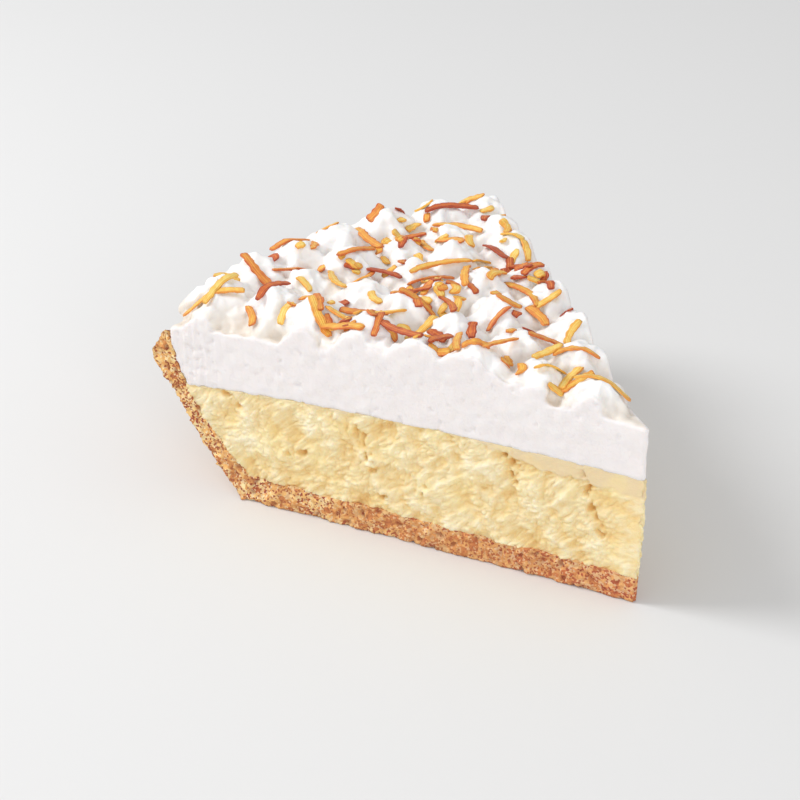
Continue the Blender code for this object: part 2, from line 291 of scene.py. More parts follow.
def crust_place(along, across, through):
    angle = mix(-HALF_ANGLE, HALF_ANGLE, across)
    up = 0
    if along < FLOOR_SHARE + HAIR:
        run = along / FLOOR_SHARE
        radius = mix(TIP_RADIUS, mix(BASE_RADIUS, FOOT_RADIUS, through), run)
        height = mix(0, BASE_THICKNESS, through)
    else:
        up = (along - FLOOR_SHARE) / (1 - FLOOR_SHARE)
        outside = up * RIM_HEIGHT
        inside = mix(BASE_THICKNESS, RIM_HEIGHT - RIM_SLANT, up)
        drawn_in = clamp((up - 1 + RIM_ROUND) / RIM_ROUND) ** 3
        share = mix(through, 0.5, 0.5 * drawn_in)
        radius = mix(outer_radius(outside), inner_radius(inside), share)
        height = mix(outside, inside, through)
    slow = CRUMB_RELIEF * rough(radius, angle, height, CRUMB_SIZE)
    out = grains(on_pie(radius, angle, height))
    risen = min(1, up * RELIEF_RISE)
    radius += slow * (1 - through) * risen
    if through < 0.5:
        radius += out * risen
    side = knife_side(across)
    if side:
        angle += (slow + side * out) * min(1, radius / TIP_FADE) / radius
    if up > RIM_FROM:
        uneven = RIM_UNEVEN * rough(radius, angle, 0, 2 * CRUMB_SIZE)
        worn = RIM_WORN * mix(RIM_KEPT, 1, clamp(across / KEPT_STRIP))
        arch = RIM_ARCH * (4 * through * (1 - through) - 0.5)
        height += (uneven - worn + arch) * (up - RIM_FROM) / (1 - RIM_FROM)
    browned = clamp(up * 1.4 - 0.4) * (1 - 0.5 * through)
    return on_pie(radius, angle, height) + drawn_tip(radius, height), -out / MM, browned


crust_counts = (FLOOR_STEPS + WALL_STEPS, 8, 18)
crust = fine_box("crust", crust_counts, crust_place, finer=(1, 20, FLOOR_SHARE - HAIR))
tell(crust)

# %% [markdown]
# Set custard doesn't cut, it tears. The face behind the knife is fluffy: ridges that the knife dragged
# into a slant, small round lumps on them, three ragged cracks and a few short tears. The size of
# ordinary noise, without its sign, is zero along winding lines. Taken as height, those lines are sharp
# crests with round hollows between them. Taken as depth, they are creases between round lumps. The
# large layer here is of the first kind and the small ones are of the second. Just under the cream, a
# skin a few millimetres thick stayed smooth towards the tip.

# %% Tears in the custard
CUSTARD_TOP = 30.1 * MM
CUSTARD_FALL = 3.4 * MM
CUSTARD_RADIUS = 105 * MM
TEAR_RELIEF = 0.9 * MM
TEAR_SIZE = 6 * MM
CRACK_WIDTH = 1.9 * MM
CRACK_DEPTH = 1.5 * MM
CRACK_WAVER = 1.6 * MM
CRUMBLE_SIZE = 1.5 * MM
# Cracks and tears: radius and height of the upper end, then of the lower end, in mm
CRACKS = ((67, 26, 63, 16), (31, 29, 29, 22), (14, 30, 9, 14))
SMALL_TEARS = (
    (50, 15, 51, 13),
    (61, 10, 62, 9),
    (100, 26, 98, 26),
    (97, 24, 96, 24),
    (84, 15, 80, 16),
)
CREST_SIZE = 3 * MM
CREST_RELIEF = 0.36 * MM
LUMP_LAYERS = ((1.5 * MM, 0.34 * MM), (0.75 * MM, 0.26 * MM))  # a lump's size and its relief
NOISE_SPAN = 2.2  # brings the size of noise, without its sign, to about one at most
RIDGE_SLANT = math.radians(38)
RIDGE_STRETCH = 0.5
RIDGE_BEND = 2.5 * MM
BEND_SIZE = 9 * MM
SKIN_DEPTH = 4.2 * MM
SKIN_ENDS = 48 * MM  # from the pie's middle
SKIN_FULL = 22 * MM
SKIN_RAGGED = 1.3 * MM
RAGGED_SIZE = 2.5 * MM
SKIN_BLEND = 0.5 * MM


def custard_height(radius):
    return CUSTARD_TOP - CUSTARD_FALL * (radius / CUSTARD_RADIUS) ** 3


def crack_depth(radius, height, waver):
    """How deep a crack is. Its width changes with the waver and its floor is crumbled."""
    place = Vector((radius + waver * CRACK_WAVER, height))
    depth = 0
    for upper_radius, upper_height, lower_radius, lower_height in CRACKS + SMALL_TEARS:
        upper = Vector((upper_radius, upper_height)) * MM
        run = Vector((lower_radius, lower_height)) * MM - upper
        share = clamp((place - upper).dot(run) / run.length_squared)
        near = (place - upper - run * share).length
        width = CRACK_WIDTH * (0.4 + 1.1 * abs(waver))
        depth = max(depth, CRACK_DEPTH * clamp(1 - near / width))
    crumbled = noise.noise(Vector((radius, height, 0)) / CRUMBLE_SIZE)
    return depth * clamp(0.5 + 1.7 * crumbled)


def tears(radius, height, side):
    """How far the torn custard lies in from the knife's plane."""
    bend = RIDGE_BEND * noise.noise(Vector((radius, height, side * 30 * MM)) / BEND_SIZE)
    along = (radius - bend) * math.cos(RIDGE_SLANT) - (height + bend) * math.sin(RIDGE_SLANT)
    across = (radius - bend) * math.sin(RIDGE_SLANT) + (height + bend) * math.cos(RIDGE_SLANT)
    place = Vector((along * RIDGE_STRETCH, across, side * 40 * MM))
    inward = CREST_RELIEF * (NOISE_SPAN * abs(noise.noise(place / CREST_SIZE)) - 0.4)
    for size, relief in LUMP_LAYERS:
        inward += relief * (0.5 - NOISE_SPAN * abs(noise.noise(place / size)))
    return inward


def skin(radius, height):
    """1 in the smooth skin under the cream, 0 in the torn custard."""
    depth = SKIN_DEPTH * clamp((SKIN_ENDS - radius) / (SKIN_ENDS - SKIN_FULL)) ** 2
    ragged = SKIN_RAGGED * noise.noise(Vector((radius, height, 0)) / RAGGED_SIZE)
    return clamp((depth - (custard_height(radius) - height) + ragged) / SKIN_BLEND)


print("the middle crack is", round(1000 * crack_depth(0.030, 0.024, 0), 1), "mm deep")

# %% [markdown]
# The custard's box fills the crust up to the cream. It reaches a fraction of a millimetre into both,
# as wet custard sticks to them, so no dark gap shows between the layers.

# %% Custard
STUCK = 0.15 * MM
TIP_TEAR = 1.1 * MM
TIP_TEAR_SIZE = 1.6 * MM
TIP_TEAR_FADE = 4 * MM
TEAR_WAVER_SIZE = 2.2 * MM
SKIN_SMOOTH = 0.85  # share of the tears that the skin takes away
MOST_PROUD = 0.5 * MM  # how far a crest may stand out of the knife's plane


def custard_place(along, across, up):
    foot = BASE_THICKNESS - STUCK
    wall = mix(foot, custard_height(CUSTARD_RADIUS), up)
    radius = mix(TIP_RADIUS, inner_radius(wall) + STUCK, along)
    height = mix(foot, custard_height(radius) + 2 * STUCK, up)
    angle = mix(-HALF_ANGLE, HALF_ANGLE, across)
    crumbled = noise.noise(Vector((2 * across, 0, height / TIP_TEAR_SIZE)))
    radius += TIP_TEAR * crumbled * max(0, 1 - radius / TIP_TEAR_FADE)
    smooth = skin(radius, height)
    inward = 0
    side = knife_side(across)
    if side:
        waver = noise.noise(Vector((radius, height, side * 50 * MM)) / TEAR_WAVER_SIZE)
        torn = 0.4 * TEAR_RELIEF + TEAR_RELIEF * rough(radius, angle, height, TEAR_SIZE)
        torn += tears(radius, height, side)
        inward = torn * (1 - SKIN_SMOOTH * smooth) + crack_depth(radius, height, waver)
        inward = max(inward, -MOST_PROUD)
        angle -= side * inward * min(1, radius / TIP_FADE) / radius
    return on_pie(radius, angle, height) + drawn_tip(radius, height), inward / MM, smooth


custard = fine_box("custard_filling", (460, 8, 104), custard_place)
tell(custard)

# %% [markdown]
# The cream starts as a flat layer. It is made too wide on purpose and cut later together with the
# piping, because that is what the knife does: the stars at the edge are sliced through.

# %% The layer of cream
CREAM_TOP = 42.5 * MM
CREAM_SHOULDER = 2.5 * MM
SPARE = 6 * MM


def layer_place(along, across, up):
    wall = mix(custard_height(INNER_TOP), CREAM_TOP - CREAM_SHOULDER, up)
    radius = mix(-SPARE, inner_radius(wall), along)
    foot = custard_height(max(radius, 0))
    shoulder = CREAM_SHOULDER * max(0, radius / INNER_TOP) ** 8
    height = mix(foot, CREAM_TOP - shoulder, up)
    wide = HALF_ANGLE + SPARE / INNER_TOP
    sideways = Vector((0, mix(-SPARE, SPARE, across) * (1 - radius / INNER_TOP), 0))
    return on_pie(radius, mix(-wide, wide, across), height) + sideways, 0, 0


cream = fine_box("cream", (40, 24, 4), layer_place)
tell(cream)

# %% [markdown]
# Each peak is one squeeze of a piping bag with a star nozzle: a drop that is broad at the foot, drawn
# up to a tip, with soft lobes that twist as the bag is lifted. A sphere whose width, turn and lean
# depend on the height gives that shape. Half the wave of a cosine, without its sign, makes round
# lobes with sharp creases between them. The stars stand in rings, as a baker works from the rim
# inwards, and each has its own size, turn and lean. How far the first star of each ring stands from
# the near cut face decides whether the knife went through it, so those distances are given one by one.

# %% Piped stars
OUTER_RING = 105 * MM
RING_SPACING = 12.9 * MM
STAR_SPACING = 12.8 * MM
STAR_RADIUS = 12.6 * MM
STAR_HEIGHT = 8.6 * MM
STAR_SUNK = 3 * MM
STAR_RIDGES = 5
RIDGE_DEPTH = 0.15
STAR_TWIST = math.radians(45)
STAR_LEAN = 2 * MM
STAR_STRAY = 1.2  # mm along its ring
TIP_STAR = 0.6  # size of a star at the pie's middle, as a share of the others
TIP_STARS_END = 40 * MM
FIRST_STARS = (9, 11, 9, 7, 4, 4, 5, 6)  # from the near cut face to each ring's first star, in mm
LAST_STAR = 4.5 * MM
PIPING_SEED = 5


def star_places():
    draw = random.Random(PIPING_SEED)
    for ring, first in enumerate(FIRST_STARS):
        radius = OUTER_RING - ring * RING_SPACING
        arc = 2 * HALF_ANGLE * radius
        free = max(0, arc - first * MM - LAST_STAR)
        gaps = round(free / STAR_SPACING)
        for star_number in range(gaps + 1):
            along = first * MM + free * star_number / gaps if gaps else arc / 2
            along += draw.uniform(-STAR_STRAY, STAR_STRAY) * MM
            yield radius + draw.uniform(-1.6, 0.8) * MM, along / radius - HALF_ANGLE


def star(index, radius, angle):
    draw = random.Random(f"star {index}")
    size = draw.uniform(0.9, 1.05)
    size *= TIP_STAR + (1 - TIP_STAR) * min(1, radius / TIP_STARS_END)
    turned = draw.uniform(0, math.tau)
    lean = Vector((draw.uniform(-1, 1), draw.uniform(-1, 1), 0)) * STAR_LEAN
    foot = on_pie(radius, angle, CREAM_TOP)
    cage = bmesh.new()
    bmesh.ops.create_uvsphere(cage, u_segments=60, v_segments=36, radius=1)
    for vertex in cage.verts:
        level = clamp((vertex.co.z + 1) / 2)
        around = math.atan2(vertex.co.y, vertex.co.x)
        petal = abs(math.cos(STAR_RIDGES * around / 2))
        ridge = 1 - 2 * RIDGE_DEPTH * (1 - petal)
        width = STAR_RADIUS * size * star_width(level) * (ridge if 0 < level < 1 else 0)
        swirl = around + turned + STAR_TWIST * level
        height = mix(-STAR_SUNK, STAR_HEIGHT * size, level)
        side = Vector((math.cos(swirl), math.sin(swirl), 0)) * width
        vertex.co = foot + side + lean * level**2 + Vector((0, 0, height))
    return finished_mesh(f"star_{index}", cage)


def star_width(level):
    """A star's width at a share of its height. The foot closes over the last twentieth."""
    closed = clamp(level / 0.05) ** 0.5
    return (1 - level**1.5) ** 0.75 * closed


stars = [star(index, *place) for index, place in enumerate(star_places())]
print(len(stars), "stars piped")

# %% [markdown]
# Cream has no seams, so the stars and the layer become one skin. A Boolean union joins them exactly
# and a second one keeps only what lies inside the slice. Voxel remeshing then lays one even grid over
# the result, which melts the hard corners by about half a millimetre, as soft cream would. A light
# smoothing takes away the steps that the grid leaves.

# %% Join, cut and soften the cream
VOXEL = 0.45 * MM


def wedge_place(along, across, up):
    radius = mix(TIP_RADIUS, 1.2 * INNER_TOP, along)
    height = mix(BASE_THICKNESS, 2 * CREAM_TOP, up)
    return on_pie(radius, mix(-HALF_ANGLE, HALF_ANGLE, across), height), 0, 0


def gather(name, pieces):
    group = bpy.data.collections.new(name)
    bpy.context.scene.collection.children.link(group)
    for piece in pieces:
        bpy.context.scene.collection.objects.unlink(piece)
        group.objects.link(piece)
    return group


def combine(piece, operation, group):
    joined = piece.modifiers.new(operation, "BOOLEAN")
    joined.operation = operation
    joined.solver = "MANIFOLD"
    joined.operand_type = "COLLECTION"
    joined.collection = group


def apply_modifiers(piece):
    bpy.context.view_layer.update()
    graph = bpy.context.evaluated_depsgraph_get()
    mesh = bpy.data.meshes.new_from_object(piece.evaluated_get(graph))
    # A Boolean leaves an empty first slot, which would hide the material given later.
    mesh.materials.clear()
    piece.modifiers.clear()
    piece.data = mesh


knife = fine_box("knife", (1, 12, 1), wedge_place)
used = [gather("piping", stars), gather("knives", [knife])]
combine(cream, "UNION", used[0])
combine(cream, "INTERSECT", used[1])
apply_modifiers(cream)
for group in used:
    for piece in list(group.objects):
        bpy.data.objects.remove(piece)
    bpy.data.collections.remove(group)
grid = cream.modifiers.new("grid", "REMESH")
grid.mode = "VOXEL"
grid.voxel_size = VOXEL
soften = cream.modifiers.new("soften", "SMOOTH")
soften.factor = 0.5
soften.iterations = 4
apply_modifiers(cream)
tell(cream)

# %% [markdown]
# The knife's face in the cream is smooth and a little pinker than the peaks, with small bubbles, some
# upright scratches near the crust and a slight wave. The peaks are broken up further into facets of a
# few millimetres, as stiff cream tears when the bag is pulled away. The distance to the nearest cell
# centre, taken as height, adds small hollows with crisp crests between them. Every point learns
# which of the two it belongs to, from its distance to the knife's planes.

# %% Surface of the cream
WAVE = 0.6 * MM
WAVE_SIZE = 6 * MM
WAVE_CUT = 0.2  # share of the wave that the knife leaves
FACET_SIZE = 4.2 * MM
FACET_RELIEF = 0.7 * MM
CRISP_SIZE = 3 * MM
CRISP_RELIEF = 1.2 * MM
BUBBLE_SIZE = 1.7 * MM
BUBBLE_DEPTH = 0.3 * MM
SCRATCH_DEPTH = 0.2 * MM
SCRATCH_WIDTH = 0.8 * MM
SCRATCH_LENGTH = 9 * MM
POROUS_FROM = 100 * MM  # from the pie's middle, where the cream clung to the crust
POROUS_FADE = 6 * MM
KNIFE_FADE = 0.4 * MM
NEAR_NORMAL = Vector((math.sin(HALF_ANGLE), math.cos(HALF_ANGLE), 0))


def knife_share(place):
    """1 on either cut face, 0 away from them."""
    across = Vector((place.x - MIDDLE.x, abs(place.y), 0))
    return clamp(2 + across.dot(NEAR_NORMAL) / KNIFE_FADE)


def cream_relief(place, radius, cut):
    near, second = noise.voronoi(place / FACET_SIZE)[0][:2]
    wave = WAVE * noise.noise(place / WAVE_SIZE)
    wave += FACET_RELIEF * (min(1, 1.4 * (second - near)) - 0.5)
    wave += CRISP_RELIEF * (noise.voronoi(place / CRISP_SIZE)[0][0] - 0.5)
    porous = clamp((radius - POROUS_FROM) / POROUS_FADE)
    bubble = BUBBLE_DEPTH * clamp(4 * (noise.noise(place / BUBBLE_SIZE) - mix(0.45, 0.2, porous)))
    upright = Vector((place.x / SCRATCH_WIDTH, 0, place.z / SCRATCH_LENGTH))
    scratch = SCRATCH_DEPTH * mix(0.15, 1, porous) * noise.noise(upright)
    return mix(wave, WAVE_CUT * wave - bubble + scratch, cut)


def settle_surface(piece):
    mesh = piece.data
    cut_face = mesh.attributes.new("cut_face", "FLOAT", "POINT")
    normals = [Vector(v.vector) for v in mesh.vertex_normals]
    places = [v.co.copy() for v in mesh.vertices]
    for vertex, place, normal in zip(mesh.vertices, places, normals):
        cut = knife_share(place)
        cut_face.data[vertex.index].value = cut
        radius = math.hypot(place.x - MIDDLE.x, place.y)
        relief = cream_relief(place, radius, cut)
        vertex.co = place + normal * relief + drawn_tip(radius, place.z)


settle_surface(cream)
cream.data.shade_smooth()
top = max(vertex.co.z for vertex in cream.data.vertices)
solid_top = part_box("whipped_topping")[1].z
print("the cream's top is at", round(1000 * top, 1), "mm, the solid's", round(1000 * solid_top, 1))

# %% [markdown]
# Toasted coconut comes in shreds: flat strips, stiff enough to bridge a hollow but limp enough to sag
# from peak to peak. The large ones that catch the eye are placed one by one, by their radius, angle,
# heading, length, sideways bow and how dark they were toasted. The small ones are scattered by a
# rule that gives each the roomiest of twelve spots. Broken flakes lie between them, most of them in
# heaps, where a pinch of coconut came down at once.

# %% Where the coconut lies
LARGE_SHREDS = (
    (105, 4, 95, 12, 0.5, 0.05),
    (105, 2, 150, 14, 1.5, 0.2),
    (104, 11, 15, 11, 0.5, 0.5),
    (110, 20, 95, 11, 0.5, 0.45),
    (100, 15, 105, 9, -0.5, 0.45),
    (94, 7, 95, 11, 0.5, 0.75),
    (87, 16, 30, 12, 1, 0.1),
    (92, 23, 90, 11, -0.5, 0.45),
    (99, 28, 10, 14, 1, 0.4),
    (82, 23, 170, 10, 0.5, 0.85),
    (78, 2, 35, 10, 0.5, 0.3),
    (71, 1, 5, 11, 0.5, 0.3),
    (72, 10, 155, 11, -0.5, 0.5),
    (58, 3, 15, 13, 1, 0.75),
    (102, 42, 105, 13, 1.5, 0.8),
    (94, 41, 140, 13, 0.5, 0.25),
    (89, 34, 15, 10, 0.5, 0.25),
    (76, 31, 95, 16, 1.5, 0.25),
    (69, 33, 35, 13, 0.5, 0.3),
    (79, 43, 170, 10, -0.5, 0.9),
    (56, 40, 175, 14, 1.5, 0.35),
    (74, 28, 95, 12, 0.5, 0.5),
    (58, 21, 30, 12, -1, 0.6),
    (49, 28, 95, 6, 0.5, 0.55),
    (46, 6, 60, 11, 0.5, 0.3),
    (37, 12, 100, 10, 0.5, 0.35),
    (25, 33, 130, 10, 1.5, 0.35),
    (21, 20, 80, 8, 0.5, 0.1),
    (13, 20, 140, 12, 1, 0.15),
    (73, 14, 30, 7, 0.5, 0.1),
    (70, 23, 0, 8, -0.5, 0.65),
    (35, 44, 55, 6, 0.5, 0.15),
    (67, 44, 175, 10, 0.5, 0.85),
    (50, 6, 90, 9, 0.5, 0.7),
    (85, 37, 165, 9, 1, 0.35),
    (40, 3, 150, 6, 0.5, 0.4),
)
SMALL_SHREDS = 58
SMALL_LENGTHS = (3.5, 8.5)
SMALL_BOW = 0.8
SPOTS_TRIED = 12
SCATTER_RADIUS = OUTER_RING + 3 * MM
BARE_SHARE = 0.015  # share of the slice, at its tip, where nothing is scattered
SHRED_SEED = 7
# Heaps of flakes: radius in mm, angle from the near cut face in degrees, and how many
FLAKE_HEAPS = (
    (68, 25, 13),
    (63, 21, 8),
    (72, 40, 10),
    (68, 6, 8),
    (88, 21, 7),
    (50, 4, 7),
    (95, 31, 5),
)
HEAP_SPREAD = 3.2
LOOSE_FLAKES = 34
FLAKE_LENGTHS = (1.6, 3.6)
FLAKE_SEED = 4


def somewhere(draw):
    """A random radius and angle, spread evenly over the slice."""
    radius = SCATTER_RADIUS * math.sqrt(draw.uniform(BARE_SHARE, 1))
    return radius, draw.uniform(-HALF_ANGLE, HALF_ANGLE)


def small_shreds():
    draw = random.Random(SHRED_SEED)
    taken = [on_pie(r * MM, math.radians(a) - HALF_ANGLE, 0) for r, a, *_ in LARGE_SHREDS]
    for _ in range(SMALL_SHREDS):
        best_room = -1
        for _ in range(SPOTS_TRIED):
            radius, angle = somewhere(draw)
            place = on_pie(radius, angle, 0)
            room = min((place - other).length for other in taken)
            if room > best_room:
                best_room, best_place, spot = room, place, (radius, angle)
        taken.append(best_place)
        length = draw.uniform(*SMALL_LENGTHS) * MM
        yield *spot, draw.uniform(0, math.pi), length, draw.uniform(-SMALL_BOW, SMALL_BOW) * MM


def flakes():
    """Crumbs of coconut, most of them in a few heaps, as radius, angle, heading, length and bow."""
    draw = random.Random(FLAKE_SEED)
    for heap_radius, heap_turn, count in FLAKE_HEAPS:
        for _ in range(count):
            radius = abs(heap_radius + draw.gauss(0, HEAP_SPREAD)) * MM
            angle = math.radians(heap_turn) - HALF_ANGLE + draw.gauss(0, HEAP_SPREAD) * MM / radius
            yield radius, angle, draw.uniform(0, math.pi), draw.uniform(*FLAKE_LENGTHS) * MM, 0
    for _ in range(LOOSE_FLAKES):
        spot = somewhere(draw)
        yield *spot, draw.uniform(0, math.pi), draw.uniform(*FLAKE_LENGTHS) * MM, 0


large_shreds = [
    (r * MM, math.radians(a) - HALF_ANGLE, math.radians(h), length * MM, bow * MM)
    for r, a, h, length, bow, _ in LARGE_SHREDS
]
shred_places = large_shreds + list(small_shreds()) + list(flakes())
print(len(shred_places), "shreds to lay")

# %% [markdown]
# Each shred is let down on the cream. Rays from above, three across its width at each of nine places
# along it, find the highest ground under it. A limp string over that ground is found by letting each
# point rise to the average of its neighbours, again and again. A stiff rod is the straight line
# through the same heights. A toasted shred lies between the two, so the lines are mixed, and the
# result is lowered until it presses a little into the highest place.

# %% Letting a shred down on the cream
SHRED_WIDTH = 2 * MM
SHRED_THICKNESS = 0.65 * MM
SHRED_PRESS = 0.3 * MM
RAYS_ACROSS = (-0.35, 0, 0.35)  # as shares of a shred's width
RAYS_FROM = 0.1
SAG_STEPS = 8
SAG_ROUNDS = 12
STIFFNESS = 0.45
CORNER_REACH = 0.09  # share of the length over which the line's corners are rounded

bpy.context.view_layer.update()
ground_tree = BVHTree.FromObject(cream, bpy.context.evaluated_depsgraph_get())


def ground_under(place, across):
    """The highest cream under a shred's width at one place."""
    found = []
    for share in RAYS_ACROSS:
        above = place + across * SHRED_WIDTH * share
        above.z = RAYS_FROM
        hit = ground_tree.ray_cast(above, Vector((0, 0, -1)))[0]
        if hit:
            found.append(hit.z)
    return max(found, default=CREAM_TOP)


def settled_line(centre, along, length):
    across = Vector((-along.y, along.x, 0))
    ground = []
    for step in range(SAG_STEPS + 1):
        ground.append(ground_under(centre + along * length * (step / SAG_STEPS - 0.5), across))
    limp = list(ground)
    for _ in range(SAG_ROUNDS):
        for i in range(1, SAG_STEPS):
            limp[i] = max(ground[i], (limp[i - 1] + limp[i + 1]) / 2)
        limp[0] = max(ground[0], 2 * limp[1] - limp[2] - SHRED_PRESS)
        limp[-1] = max(ground[-1], 2 * limp[-2] - limp[-3] - SHRED_PRESS)
    offsets = [i - SAG_STEPS / 2 for i in range(SAG_STEPS + 1)]
    slope = sum(offset * below for offset, below in zip(offsets, ground))
    slope /= sum(offset**2 for offset in offsets)
    middle = sum(ground) / len(ground)
    line = [mix(sag, middle + slope * offset, STIFFNESS) for sag, offset in zip(limp, offsets)]
    drop = min(height - below for height, below in zip(line, ground)) + SHRED_PRESS
    return [height - drop for height in line]


def smooth_height(line, run):
    """The line's height at a share of its length, with its corners rounded."""
    heights = []
    for offset in (-1, -0.5, 0, 0.5, 1):
        sample = clamp(run + offset * CORNER_REACH) * SAG_STEPS
        below = min(int(sample), SAG_STEPS - 1)
        heights.append(mix(line[below], line[below + 1], sample - below))
    return sum(heights) / len(heights)


example = settled_line(on_pie(100 * MM, 0, 0), Vector((0, 1, 0)), 10 * MM)
print("a shred near the rim lies at", round(1000 * example[4], 1), "mm")

# %% [markdown]
# A shred's own shape is a strip with a rounded edge, a little ragged and twisted, thicker in its
# middle than at its ends. It was grated from a nut, so it has fibres along its length. All shreds
# are built into one mesh. Each point carries three numbers for the material: how dark its shred was
# toasted, how near it is to the strip's edge or end, where toasting goes furthest, and its place
# across the fibres.

# %% Shreds
SHRED_LENGTHWAYS = 24
SHRED_AROUND = 12
SHRED_CORNER = 0.28  # 1 makes a round section, 0 a rectangle
SHRED_WIDTHS = (0.8, 1.15)
SHRED_RAGGED = 0.45
SHRED_RAGGED_SIZE = 1.1 * MM
SHRED_UNEVEN = 0.35
END_ROUND = 0.5 * MM
MOST_ROLL = 0.35
MOST_TWIST = 0.5
LEAST_TOAST = 0.05
TOAST_RANGE = 0.8


def shred_section(index):
    """Offsets round a shred's section, as shares of half its width and half its thickness."""
    turn = math.tau * index / SHRED_AROUND
    wide = math.copysign(abs(math.cos(turn)) ** SHRED_CORNER, math.cos(turn))
    thick = math.copysign(abs(math.sin(turn)) ** SHRED_CORNER, math.sin(turn))
    return wide, thick


def add_shred(cage, layers, index, radius, angle, heading, length, bow):
    draw = random.Random(f"shred {index}")
    room = (abs(math.sin(heading)) * length / 2 + SHRED_WIDTH) / radius
    angle = min(max(angle, room - HALF_ANGLE), max(HALF_ANGLE - room, 0))
    outward = (on_pie(1, angle, 0) - MIDDLE).normalized()
    sideways = Vector((-outward.y, outward.x, 0))
    along = outward * math.cos(heading) - sideways * math.sin(heading)
    across = Vector((-along.y, along.x, 0))
    centre = on_pie(radius, angle, 0)
    line = settled_line(centre, along, length)
    width = SHRED_WIDTH * draw.uniform(*SHRED_WIDTHS)
    roll = draw.uniform(-MOST_ROLL, MOST_ROLL)
    if index < len(LARGE_SHREDS):
        toast = LARGE_SHREDS[index][5]
    else:
        toast = LEAST_TOAST + TOAST_RANGE * draw.random() ** 2
    twist = draw.uniform(-MOST_TWIST, MOST_TWIST)
    rings = []
    for step in range(SHRED_LENGTHWAYS + 1):
        run = step / SHRED_LENGTHWAYS
        arch = 1 - (2 * run - 1) ** 2
        end = clamp(min(run, 1 - run) * length / END_ROUND) ** 0.5
        uneven = noise.noise(Vector((index, run * 5, 3)))
        half_thickness = SHRED_THICKNESS / 2 * (0.8 + SHRED_UNEVEN * uneven)
        flat = centre + along * length * (run - 0.5) + across * bow * (arch - 0.5)
        middle = Vector((flat.x, flat.y, smooth_height(line, run) + SHRED_THICKNESS / 2))
        tilt = roll + twist * (run - 0.5)
        side = across * math.cos(tilt) + Vector((0, 0, math.sin(tilt)))
        top = across * -math.sin(tilt) + Vector((0, 0, math.cos(tilt)))
        ring = []
        for corner in range(SHRED_AROUND):
            wide, thick = shred_section(corner)
            spot = (run * length / SHRED_RAGGED_SIZE, index * 7.3, 2 * wide)
            ragged = noise.noise(Vector(spot))
            half_width = width / 2 * (0.7 + 0.3 * arch**0.5) * (1 + SHRED_RAGGED * ragged)
            shift = side * wide * half_width * mix(0.75, 1, end)
            shift += top * thick * half_thickness * mix(0.6, 1, end)
            vertex = cage.verts.new(middle + shift)
            vertex[layers["toast"]] = toast
            vertex[layers["edge"]] = clamp(max(abs(wide) ** 3, 1 - end) + 0.3 * ragged)
            vertex[layers["fibre"]] = wide + index
            ring.append(vertex)
        rings.append(ring)
    for one, other in zip(rings, rings[1:]):
        for i in range(SHRED_AROUND):
            after = (i + 1) % SHRED_AROUND
            cage.faces.new((one[i], one[after], other[after], other[i]))
    cage.faces.new(rings[0])
    cage.faces.new(reversed(rings[-1]))


cage = bmesh.new()
layers = {name: cage.verts.layers.float.new(name) for name in ("toast", "edge", "fibre")}
for index, place in enumerate(shred_places):
    add_shred(cage, layers, index, *place)
bmesh.ops.recalc_face_normals(cage, faces=cage.faces)
coconut = finished_mesh("toasted_coconut", cage)
tell(coconut)

# %% [markdown]
# The materials share a few small helpers. They place a node, join it to others and set a value where
# nothing is joined. Colours are written as the eye sees them, from 0 to 255, and turned into the
# linear values that the renderer adds up.

# %% Helpers for materials
def colour(red, green, blue):
    linear = []
    for value in (red / 255, green / 255, blue / 255):
        linear.append(value / 12.92 if value <= 0.04045 else ((value + 0.055) / 1.055) ** 2.4)
    return (*linear, 1)


